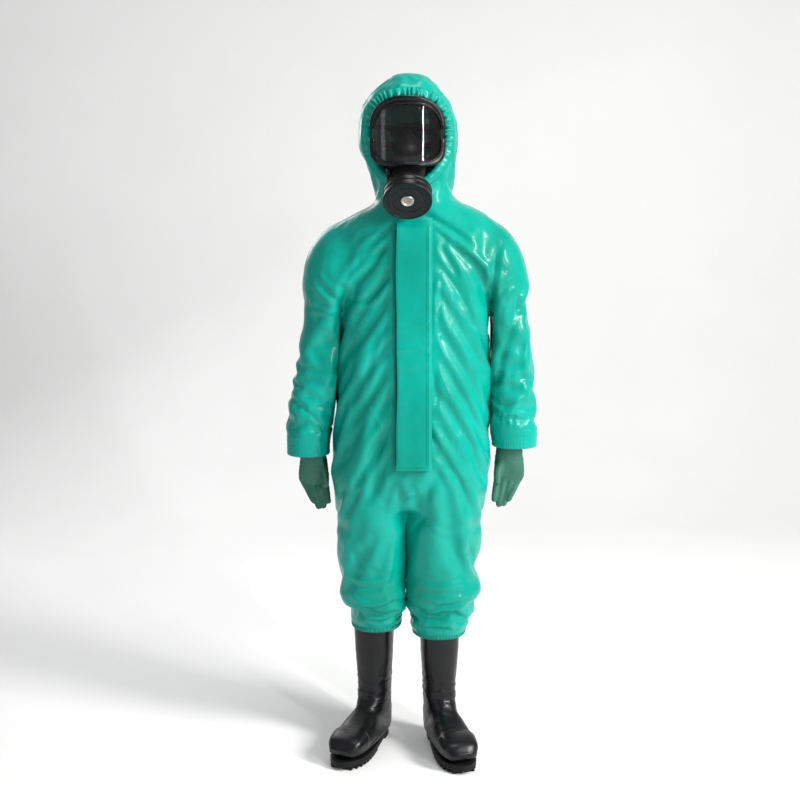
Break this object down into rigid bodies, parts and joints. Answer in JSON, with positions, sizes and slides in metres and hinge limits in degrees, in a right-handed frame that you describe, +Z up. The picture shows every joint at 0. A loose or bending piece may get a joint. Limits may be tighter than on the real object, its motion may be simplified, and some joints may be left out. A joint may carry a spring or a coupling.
{
  "type": "chemical protective suit",
  "caption": "Hooded one-piece chemical protective coverall with storm flap over a front zip, full-face mask with screw-on filter canister, gloves and boots.",
  "frame": {"origin": "on the floor between the boots, on the line through the wearer's shoulders and hips", "axes": "+Z up the suit, the suit faces -Y, +X is the wearer's left"},
  "size_m": [0.652, 0.3662, 1.786],
  "materials": {
    "suit_fabric": "semi-gloss PVC coating on woven fabric, turquoise green",
    "cuff_fabric": "the same coated fabric, doubled and stitched, a little darker",
    "tape_green": "woven tape, dark green",
    "hook_loop": "hook and loop tape, green",
    "brass": "satin",
    "glove_rubber": "matte nitrile, grey green",
    "boot_rubber": "semi-gloss black PVC",
    "sole_rubber": "matte black",
    "mask_rubber": "matte black",
    "black_plastic": "semi-gloss black",
    "valve_rubber": "thin silicone",
    "lens": "clear polycarbonate",
    "steel": "stainless, satin",
    "harness_rubber": "matte black webbed rubber",
    "filter_paper": "pleated glass-fibre paper",
    "carbon": "packed charcoal granules",
    "felt": "grey felt"
  },
  "bodies": {
    "torso": {"torso_shell": "suit_fabric", "seat_section": "suit_fabric", "hood_neck": "suit_fabric", "inner_zip_guard": "tape_green", "zip_tape_right": "tape_green", "zip_tape_left": "tape_green", "zip_chain": "brass", "hook_strip": "hook_loop"},
    "storm_flap": {"storm_flap": "suit_fabric", "loop_strip": "hook_loop"},
    "zip": {"zip_slider": "brass", "zip_pull": "brass"},
    "hood": {"hood_shell": "suit_fabric", "hood_face_elastic": "cuff_fabric"},
    "mask": {"mask_facepiece": "mask_rubber", "visor_lens": "lens", "visor_frame_upper": "black_plastic", "visor_frame_lower": "black_plastic", "nose_cup": "mask_rubber", "inhalation_valve_seat": "black_plastic", "filter_connector": "black_plastic", "exhalation_cover": "black_plastic", "head_harness": "harness_rubber", "right_harness_buckle": "steel", "left_harness_buckle": "steel"},
    "inhalation_disc": {"inhalation_valve_disc": "valve_rubber"},
    "exhalation_disc": {"exhalation_valve_disc": "valve_rubber"},
    "gasket": {"connector_gasket": "mask_rubber"},
    "canister": {"canister_body": "black_plastic", "canister_lid": "black_plastic", "inlet_ring": "steel", "inlet_screen": "steel", "carbon_bed": "carbon", "particulate_filter": "filter_paper"},
    "right_upper_arm": {"right_upper_sleeve": "suit_fabric", "right_elbow_section": "suit_fabric"},
    "right_forearm": {"right_forearm_sleeve": "suit_fabric", "right_cuff": "cuff_fabric"},
    "right_hand": {"right_glove": "glove_rubber"},
    "right_upper_leg": {"right_thigh": "suit_fabric", "right_knee_section": "suit_fabric"},
    "right_lower_leg": {"right_shin": "suit_fabric", "right_hem_elastic": "cuff_fabric"},
    "right_foot": {"right_boot_upper": "boot_rubber", "right_boot_outsole": "sole_rubber", "right_insole": "felt", "right_toe_cap": "steel"},
    "left_upper_arm": {"left_upper_sleeve": "suit_fabric", "left_elbow_section": "suit_fabric"},
    "left_forearm": {"left_forearm_sleeve": "suit_fabric", "left_cuff": "cuff_fabric"},
    "left_hand": {"left_glove": "glove_rubber"},
    "left_upper_leg": {"left_thigh": "suit_fabric", "left_knee_section": "suit_fabric"},
    "left_lower_leg": {"left_shin": "suit_fabric", "left_hem_elastic": "cuff_fabric"},
    "left_foot": {"left_boot_upper": "boot_rubber", "left_boot_outsole": "sole_rubber", "left_insole": "felt", "left_toe_cap": "steel"}
  },
  "joints": [
    {"name": "storm_flap_open", "type": "hinge", "parent": "torso", "child": "storm_flap", "pos_m": [0.0552, -0.14454, 1.103], "axis": [0, 0.0339, 0.9994], "range_deg": [0, 100]},
    {"name": "zip_travel", "type": "slide", "parent": "torso", "child": "zip", "axis": [0, -0.0339, -0.9994], "range_m": [0, 0.57]},
    {"name": "hood_nod", "type": "hinge", "parent": "torso", "child": "hood", "pos_m": [0, 0.02, 1.47], "axis": [-1, 0, 0], "range_deg": [-6, 20], "deforming": ["hood_neck"]},
    {"name": "mask_lift_off", "type": "slide", "parent": "hood", "child": "mask", "axis": [0, -1, 0], "range_m": [0, 0.3]},
    {"name": "inhalation_valve", "type": "slide", "parent": "mask", "child": "inhalation_disc", "axis": [0, 0.7314, 0.682], "range_m": [0, 0.002], "stiffness_N_per_m": 60},
    {"name": "exhalation_valve", "type": "slide", "parent": "mask", "child": "exhalation_disc", "axis": [-1, 0, 0], "range_m": [0, 0.002], "stiffness_N_per_m": 60},
    {"name": "canister_travel", "type": "slide", "parent": "mask", "child": "gasket", "axis": [0, -0.7314, -0.682], "range_m": [0, 0.0121]},
    {"name": "canister_turn", "type": "hinge", "parent": "gasket", "child": "canister", "pos_m": [-0.006, -0.14158, 1.51015], "axis": [0, -0.7314, -0.682], "range_deg": [0, 1190]},
    {"name": "right_shoulder", "type": "hinge", "parent": "torso", "child": "right_upper_arm", "pos_m": [-0.168, 0, 1.315], "axis": [-1, 0, 0], "range_deg": [-35, 100]},
    {"name": "right_elbow", "type": "hinge", "parent": "right_upper_arm", "child": "right_forearm", "pos_m": [-0.24, 0, 1.065], "axis": [-1, 0, 0], "range_deg": [0, 90], "deforming": ["right_elbow_section"]},
    {"name": "right_glove_off", "type": "slide", "parent": "right_forearm", "child": "right_hand", "axis": [0, 0, -1], "range_m": [0, 0.22]},
    {"name": "right_hip", "type": "hinge", "parent": "torso", "child": "right_upper_leg", "pos_m": [-0.1, 0, 0.86], "axis": [-1, 0, 0], "range_deg": [-15, 44], "deforming": ["seat_section"]},
    {"name": "right_knee", "type": "hinge", "parent": "right_upper_leg", "child": "right_lower_leg", "pos_m": [-0.1, 0.012, 0.46], "axis": [1, 0, 0], "range_deg": [0, 74], "deforming": ["right_knee_section"]},
    {"name": "right_boot_off", "type": "slide", "parent": "right_lower_leg", "child": "right_foot", "axis": [0, 0, -1], "range_m": [0, 0.4]},
    {"name": "left_shoulder", "type": "hinge", "parent": "torso", "child": "left_upper_arm", "pos_m": [0.195, 0, 1.334], "axis": [-1, 0, 0], "range_deg": [-35, 100]},
    {"name": "left_elbow", "type": "hinge", "parent": "left_upper_arm", "child": "left_forearm", "pos_m": [0.265, 0, 1.065], "axis": [-1, 0, 0], "range_deg": [0, 90], "deforming": ["left_elbow_section"]},
    {"name": "left_glove_off", "type": "slide", "parent": "left_forearm", "child": "left_hand", "axis": [0, 0, -1], "range_m": [0, 0.22]},
    {"name": "left_hip", "type": "hinge", "parent": "torso", "child": "left_upper_leg", "pos_m": [0.09, 0, 0.86], "axis": [-1, 0, 0], "range_deg": [-15, 44], "deforming": ["seat_section"]},
    {"name": "left_knee", "type": "hinge", "parent": "left_upper_leg", "child": "left_lower_leg", "pos_m": [0.09, 0.012, 0.46], "axis": [1, 0, 0], "range_deg": [0, 74], "deforming": ["left_knee_section"]},
    {"name": "left_boot_off", "type": "slide", "parent": "left_lower_leg", "child": "left_foot", "axis": [0, 0, -1], "range_m": [0, 0.4]}
  ],
  "couplings": [
    {"joint": "canister_travel", "follows": "canister_turn", "m_per_rad": 0.00057757}
  ]
}
